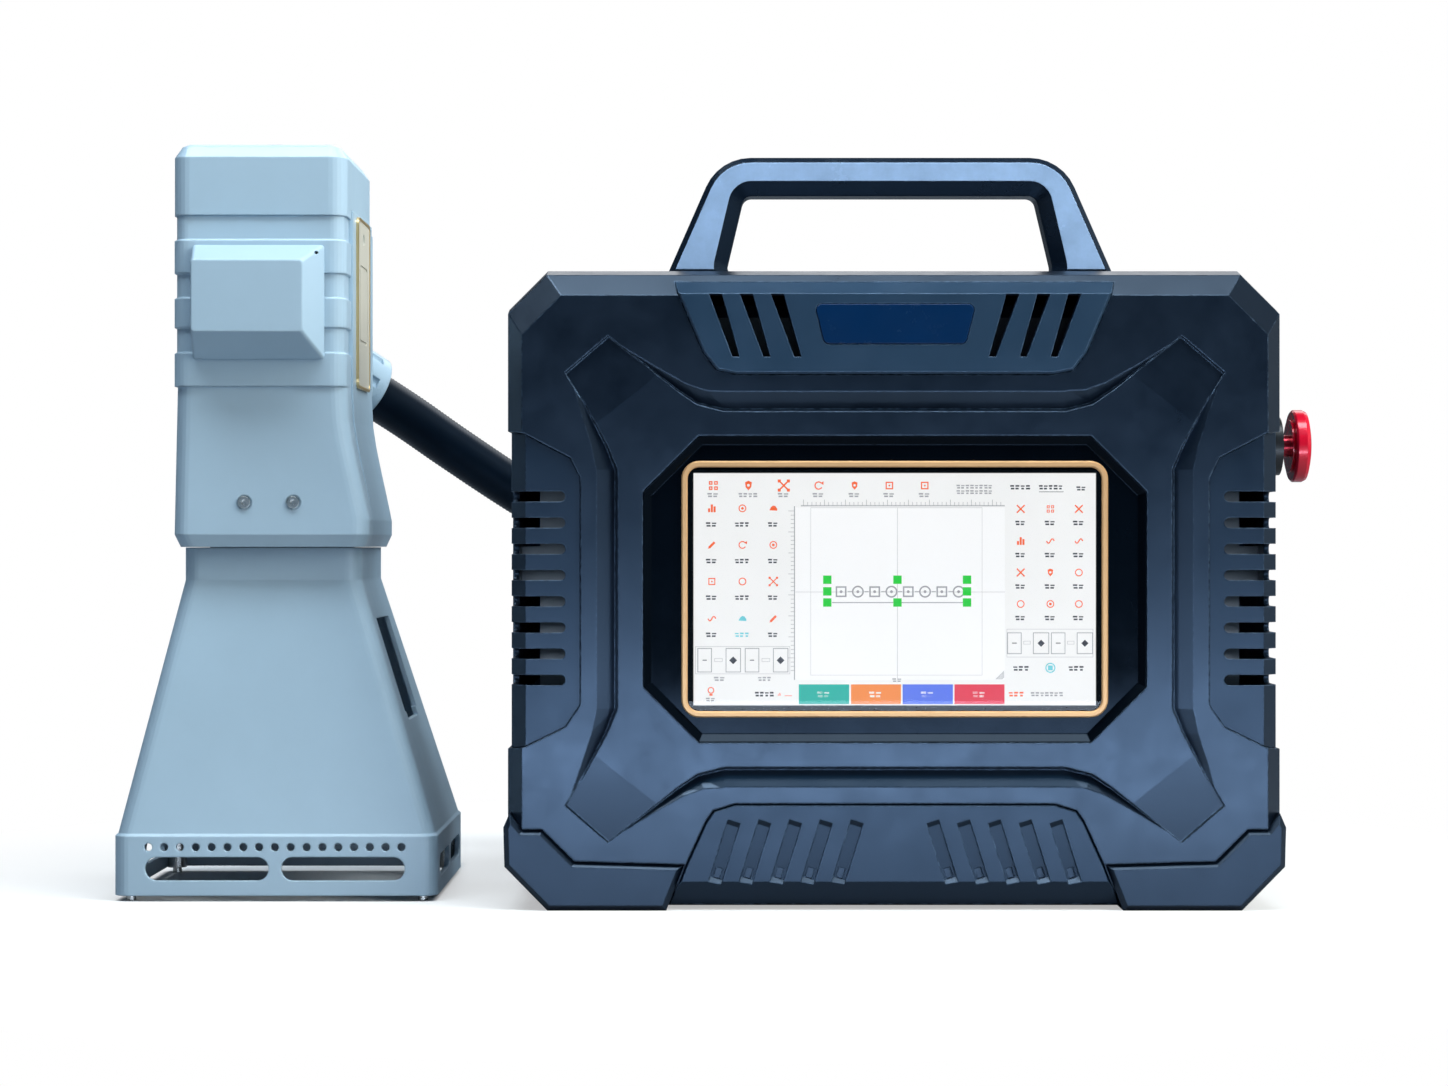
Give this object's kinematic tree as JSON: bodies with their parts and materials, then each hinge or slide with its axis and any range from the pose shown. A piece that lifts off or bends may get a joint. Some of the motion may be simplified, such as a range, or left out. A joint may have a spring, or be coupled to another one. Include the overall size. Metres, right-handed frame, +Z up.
{
  "type": "laser marking machine",
  "caption": "Portable laser marking machine: a suitcase controller with touch screen and carry handle, a handheld marking head on a tapered hood, and a ribbed hose between them.",
  "frame": {"origin": "on the floor, under the middle of the box round the case and the marking head", "axes": "+X to the right as seen by the user of the screen, +Y to the back, +Z up"},
  "size_m": [0.692, 0.6016, 0.436],
  "materials": {
    "case_plastic": "satin moulded plastic",
    "panel_plastic": "satin moulded plastic",
    "guard_rubber": "satin, softer plastic",
    "handle_plastic": "polished dark plastic",
    "bezel_black": "glossy black",
    "blank_badge": "glossy blue, blank",
    "gold_trim": "brushed champagne anodised",
    "screen_glass": "clear cover glass",
    "display": null,
    "circuit_board": "solder mask",
    "sheet_steel": "zinc plated sheet",
    "laser_case": "black anodised",
    "supply_case": "plain",
    "fan_plastic": "black moulded plastic",
    "wire_steel": "plated wire",
    "black_plastic": "black moulded plastic",
    "rocker_red": "glossy red",
    "lock_metal": "plated",
    "stop_red": "metallic red",
    "gland_blue": "pale blue moulded plastic",
    "screw_steel": "plated steel",
    "head_paint": "satin light blue-grey powder coat",
    "grip_plastic": "satin light blue-grey",
    "cream_plate": "cream satin",
    "optic_metal": "machined",
    "lens_black": "black anodised",
    "lens_clear": "coated lens",
    "mirror_coat": "coated mirror",
    "hose_black": "dark ribbed hose"
  },
  "bodies": {
    "case": {"front_shell": "case_plastic", "rear_shell": "case_plastic", "top_vent_panel": "panel_plastic", "badge_plate": "blank_badge", "bottom_vent_panel": "panel_plastic", "left_vent_panel": "panel_plastic", "right_vent_panel": "panel_plastic", "left_corner_guard": "guard_rubber", "right_corner_guard": "guard_rubber", "carry_handle": "handle_plastic", "screen_bezel": "bezel_black", "display_frame": "gold_trim", "touch_glass": "screen_glass", "display_panel": "display", "controller_board": "circuit_board", "chassis_plate": "sheet_steel", "laser_source": "laser_case", "power_supply": "supply_case", "fan_housings": "fan_plastic", "fan_guards": "wire_steel", "mains_inlet": "black_plastic", "rocker_frame": "black_plastic", "key_switch": "lock_metal", "stop_body": "black_plastic", "case_gland": "gland_blue", "case_screws": "screw_steel", "hose_stretch": "hose_black", "hose_coil": "hose_black", "hose_tail": "hose_black"},
    "head": {"hood": "head_paint", "hood_feet": "screw_steel", "head_front_shell": "head_paint", "head_rear_shell": "head_paint", "head_top_cap": "head_paint", "galvo_cover": "head_paint", "side_plate": "cream_plate", "side_trim": "gold_trim", "head_screws": "screw_steel", "rear_grip": "grip_plastic", "head_gland": "gland_blue", "galvo_block": "optic_metal", "galvo_motors": "lens_black", "collimator": "optic_metal", "lens_barrel": "lens_black", "lens_glass": "lens_clear", "driver_board": "circuit_board"},
    "fan_rotor_left": {"fan_rotor_left": "fan_plastic"},
    "fan_rotor_right": {"fan_rotor_right": "fan_plastic"},
    "power_rocker": {"power_rocker": "rocker_red"},
    "key": {"key": "lock_metal"},
    "stop_stem": {"stop_stem": "lock_metal"},
    "stop_cap": {"stop_cap": "stop_red"},
    "trigger": {"trigger": "black_plastic"},
    "mirror_x": {"mirror_x": "mirror_coat"},
    "mirror_y": {"mirror_y": "mirror_coat"}
  },
  "joints": [
    {"name": "head_lift", "type": "slide", "parent": "case", "child": "head", "axis": [0, 0, 1], "range_m": [0, 0.12], "deforming": ["hose_stretch"]},
    {"name": "stop_push", "type": "slide", "parent": "case", "child": "stop_stem", "axis": [-1, 0, 0], "range_m": [0, 0.005]},
    {"name": "stop_twist", "type": "hinge", "parent": "stop_stem", "child": "stop_cap", "pos_m": [0.317, -0.049, 0.26208], "axis": [1, 0, 0], "range_deg": [0, 45]},
    {"name": "power_rock", "type": "hinge", "parent": "case", "child": "power_rocker", "pos_m": [0.26058, 0.029, 0.15099], "axis": [0, 0, 1], "range_deg": [-18, 0]},
    {"name": "key_turn", "type": "hinge", "parent": "case", "child": "key", "pos_m": [0.26058, 0.029, 0.20132], "axis": [0, 1, 0], "range_deg": [0, 90]},
    {"name": "fan_spin_left", "type": "hinge", "parent": "case", "child": "fan_rotor_left", "pos_m": [0.00886, 0.014, 0.23008], "axis": [0, 1, 0], "continuous": true},
    {"name": "fan_spin_right", "type": "hinge", "parent": "case", "child": "fan_rotor_right", "pos_m": [0.19114, 0.014, 0.23008], "axis": [0, 1, 0], "continuous": true},
    {"name": "trigger_pull", "type": "slide", "parent": "head", "child": "trigger", "axis": [0, 1, 0], "range_m": [0, 0.003], "stiffness_N_per_m": 600},
    {"name": "mirror_x_turn", "type": "hinge", "parent": "head", "child": "mirror_x", "pos_m": [-0.277, -0.002, 0.344], "axis": [0, 0, 1], "range_deg": [-12.5, 12.5]},
    {"name": "mirror_y_turn", "type": "hinge", "parent": "head", "child": "mirror_y", "pos_m": [-0.26, -0.002, 0.344], "axis": [0, 1, 0], "range_deg": [-12.5, 12.5]}
  ]
}
